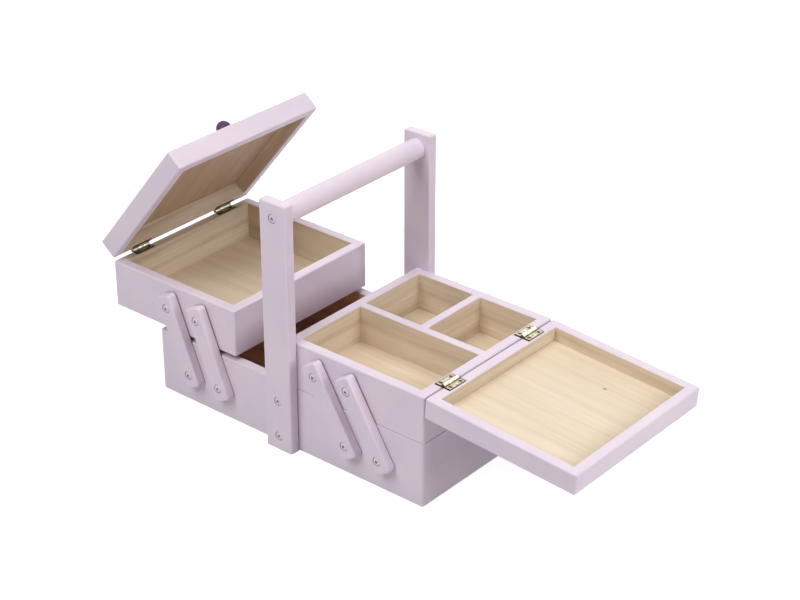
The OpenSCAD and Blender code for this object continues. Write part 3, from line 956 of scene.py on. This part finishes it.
def drive_screws(node, body, pattern, places):
    """Copies of a screw at (x, head y, z, out, turn), joined into the group that the CAD has."""
    made = []
    for number, (x, y, z, out, turn) in enumerate(places):
        one = copy_of(pattern, "%s_%d" % (node, number))
        spin = Matrix.Rotation(turn, 4, "Y")
        set_in_place(one, Matrix.Translation((x, y, z)) @ facing(out) @ spin)
        made.append(one)
    clear_bench()
    for one in made:
        one.select_set(True)
    bpy.context.view_layer.objects.active = made[0]
    bpy.ops.object.join()
    made[0].name = node + "_set"
    fit(made[0], body, "painted_screw", node)


def build_pivot_screws(paint, steel):
    """Screws that the arms turn on, in the base and in the trays."""
    arm_low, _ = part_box("right_front_inner_arm")
    head_y = -arm_low.y - HEAD_SUNK
    pattern = shape_screw(SHORT_SCREW, DOMED_RISE, paint, steel)
    places = []
    for number, name in enumerate((
        "right_tray_swing", "right_front_outer_arm_swing", "left_tray_swing",
        "left_front_outer_arm_swing",
    )):
        x, _, z = JOINTS[name]["pos_m"]
        for out in (-1, 1):
            places.append((x, out * head_y, z, out, 0.5 + 0.9 * number + 0.4 * out))
    drive_screws("base_pivot_screws", "base", pattern, places)
    inner_x = JOINTS["right_tray_swing"]["pos_m"][0]
    pitch = JOINTS["right_front_outer_arm_swing"]["pos_m"][0] - inner_x
    for side_name, side in (("left", -1), ("right", 1)):
        x, _, z = JOINTS[side_name + "_tray_level"]["pos_m"]
        places = [
            (x + side * step * pitch, out * head_y, z, out, 0.3 + 0.7 * step + 0.5 * out + side)
            for out in (-1, 1) for step in (0, 1)
        ]
        drive_screws(side_name + "_tray_pivot_screws", side_name + "_tray", pattern, places)
    bpy.data.objects.remove(pattern)


def build_handle_screws(screw_zs, paint, steel):
    """Two screws into the base and one into the dowel, through each upright."""
    upright_low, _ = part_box("front_handle_upright")
    head_y = -upright_low.y - HEAD_SUNK
    pattern = shape_screw(SHORT_SCREW, HEAD_SUNK, paint, steel)
    places = [
        (0, out * head_y, z, out, 0.4 + 30 * z + 0.3 * out)
        for out in (-1, 1) for z in screw_zs[:2]
    ]
    drive_screws("handle_base_screws", "base", pattern, places)
    bpy.data.objects.remove(pattern)
    pattern = shape_screw(LONG_SCREW, HEAD_SUNK, paint, steel)
    places = [(0, out * head_y, screw_zs[2], out, 0.2 + 0.5 * out) for out in (-1, 1)]
    drive_screws("handle_dowel_screws", "base", pattern, places)
    bpy.data.objects.remove(pattern)


def build_knob(side_name, side, opened, gloss):
    """Turned ball knob on a short neck."""
    pin = Vector(JOINTS[side_name + "_lid_hinge"]["pos_m"])
    ball_r = KNOB_D / 2
    rise = math.sqrt(ball_r ** 2 - KNOB_NECK_R ** 2)
    start = math.atan2(-rise, KNOB_NECK_R)
    foot = 0.0003
    steps = 18
    outline = [(0, 0), (KNOB_NECK_R + foot, 0), (KNOB_NECK_R, foot)]
    for step in range(steps):
        angle = start + (math.pi / 2 - start) * step / steps
        outline.append((ball_r * math.cos(angle), KNOB_NECK_H + rise + ball_r * math.sin(angle)))
    outline.append((0, KNOB_NECK_H + rise + ball_r))
    knob = turn_on_lathe(side_name + "_knob_turned", outline, 48)
    tray_low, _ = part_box(side_name + "_tray_front_board")
    _, tray_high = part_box(side_name + "_tray_back_board")
    free_x = tray_low.x if side > 0 else tray_high.x
    place = Vector((free_x + side * KNOB_IN, 0, pin.z + PIN_UP + LID_H))
    upright = Matrix.Translation(place) @ Matrix.Rotation(math.pi / 2, 4, "X")
    coat(knob, gloss)
    smooth(knob, 50)
    set_in_place(knob, lid_opened(pin, side, opened) @ upright)
    fit(knob, side_name + "_lid", "violet_paint", side_name + "_knob")


def dress_node(node, *materials, edge=0.0):
    """A CAD node that keeps its shape gets a finish and, if asked, softened edges."""
    piece = frame["nodes"][node]
    piece.data.materials.clear()
    for mat in materials:
        piece.data.materials.append(mat)
    if edge:
        weld = piece.modifiers.new("weld", "WELD")
        weld.merge_threshold = 0.000002
        soften = piece.modifiers.new("soften", "BEVEL")
        soften.width = edge
        soften.segments = 2
        soften.limit_method = "ANGLE"
        soften.angle_limit = math.radians(50)
        soften.harden_normals = True


def build_middle(paints, painted_shade, steel):
    """Base and handle, with their screws, and the arms."""
    woods = {
        grain: bare_wood("base_wood_" + grain.lower(), grain, "Z", DEEP_TONES) for grain in "XY"
    }
    dowel_low, dowel_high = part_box("handle_dowel")
    screw_zs = (0.0105, 0.038, (dowel_low.z + dowel_high.z) / 2)
    build_base(paints, woods, painted_shade)
    dress_node("base_floor", bare_wood("base_floor_wood", "X", "Y", DEEP_TONES, rings=0.35))
    for name, out in (("front_handle_upright", -1), ("back_handle_upright", 1)):
        build_upright(name, out, screw_zs, paints["Z"], painted_shade)
    build_dowel(paints["Y"])
    build_arms(paints["Z"], painted_shade)
    build_pivot_screws(paints["Z"], steel)
    build_handle_screws(screw_zs, paints["Z"], steel)


def lid_inside(side_name, turn, pin):
    """The right lid's panel is paler and has a pin knot; the left one stands in shade, and that
    shade is painted into its darker tones.
    """
    if side_name == "right":
        tones, knot = CREAM_TONES, KNOT_AT
    else:
        tones, knot = SHADED_LID_TONES, None
    return bare_wood(
        side_name + "_lid_inside", "X", "Y", tones, turn, pin, rings=0.2, streaks=0.45, knot=knot
    )


def build_side(side_name, side, opened, paints, woods, floor_wood, painted_shade, brass, gloss):
    """A tray with its lid, hinges and knob."""
    pin = tuple(JOINTS[side_name + "_lid_hinge"]["pos_m"])
    turn = side * opened
    lid_paints = {grain: lilac_paint(grain, turn) for grain in "XY"}
    lid_woods = {
        grain: bare_wood(
            "%s_lid_wood_%s" % (side_name, grain.lower()), grain, "Z", SIDE_TONES, turn, pin
        )
        for grain in "XY"
    }
    build_tray(side_name, side, paints, woods, painted_shade)
    build_lid(
        side_name, side, opened, lid_paints, lid_woods, painted_shade, lid_inside(side_name, turn, pin)
    )
    build_knob(side_name, side, opened, gloss)
    dress_node(side_name + "_tray_floor", floor_wood)
    for part, part_turn in (("_tray_hinge", 0.0), ("_lid_hinge", turn)):
        leaf_brass = hinge_brass(side_name + part + "_brass", part_turn, pin)
        dress_node(side_name + part + "_leaves", leaf_brass, edge=0.00012)
    for part in ("hinge_pins", "tray_hinge_screws", "lid_hinge_screws", "knob_screw"):
        dress_node(side_name + "_" + part, brass)


def build_carrier():
    """Finishes first, then the base with the handle, then both sides and the dividers."""
    paints = {grain: lilac_paint(grain) for grain in "XYZ"}
    woods = {
        grain: bare_wood("side_wood_" + grain.lower(), grain, "Z", SIDE_TONES) for grain in "XY"
    }
    floor_wood = bare_wood("floor_wood", "X", "Y", FLOOR_TONES, rings=0.25)
    # The dark wood of undersides, backs and recesses is painted shade for seams, contact lines and
    # screw holes.
    brass, steel, painted_shade, gloss = dark_brass(), screw_steel(), painted_shade_wood(), violet_gloss()
    build_middle(paints, painted_shade, steel)
    for side_name, side, opened in (("left", -1, LEFT_LID_OPEN), ("right", 1, RIGHT_LID_OPEN)):
        build_side(
            side_name, side, opened, paints, woods, floor_wood, painted_shade, brass, gloss
        )
    build_divider("right_tray_long_divider", "X", paints["X"], woods["X"])
    build_divider("right_tray_cross_divider", "Y", paints["Y"], woods["Y"])


aim_camera()
clear_bench()
lay_floor()
light_room()
build_carrier()

view = bpy.context.scene.view_settings
view.view_transform = "Standard"
